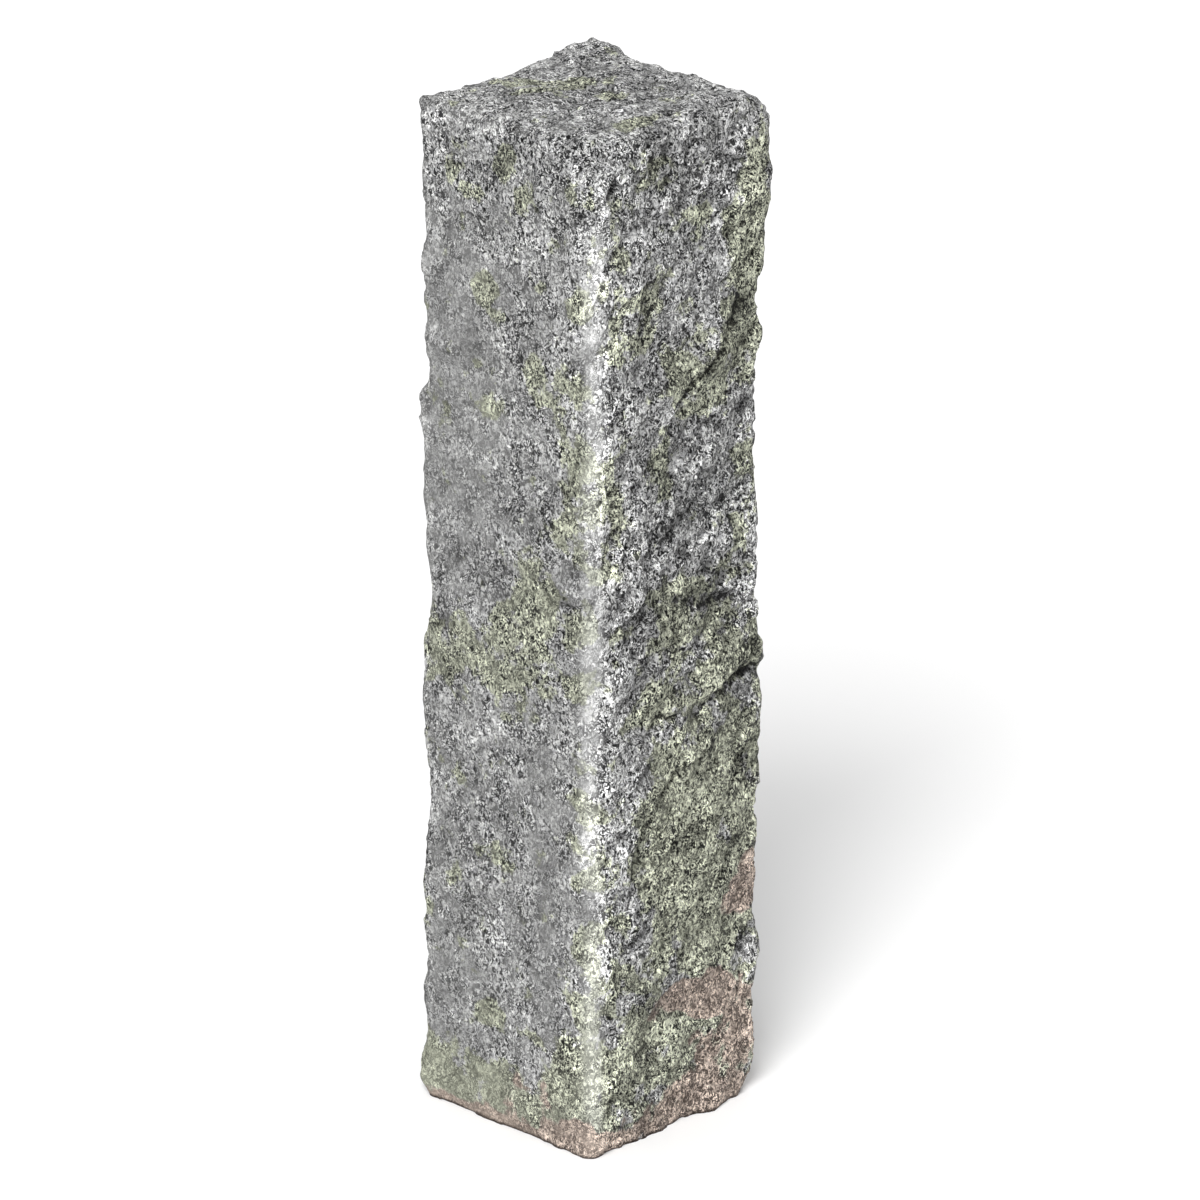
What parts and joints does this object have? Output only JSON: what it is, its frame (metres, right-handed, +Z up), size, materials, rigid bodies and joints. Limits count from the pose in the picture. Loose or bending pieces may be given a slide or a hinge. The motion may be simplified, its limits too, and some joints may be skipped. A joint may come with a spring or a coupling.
{
  "type": "granite boundary stone",
  "caption": "Square pillar of split grey granite that stands upright on its foot to mark a boundary, edge or corner.",
  "frame": {"origin": "middle of the foot, on the flat face that the stone rests on", "axes": "+Z up along the pillar, from the foot to the head; the smoother front face looks along -Y and the roughest face along +X, with the worn arris between them"},
  "size_m": [0.1222, 0.1214, 0.5035],
  "materials": {
    "granite": "rough split, weathered"
  },
  "bodies": {
    "root": {"boundary_stone": "granite"}
  },
  "joints": []
}
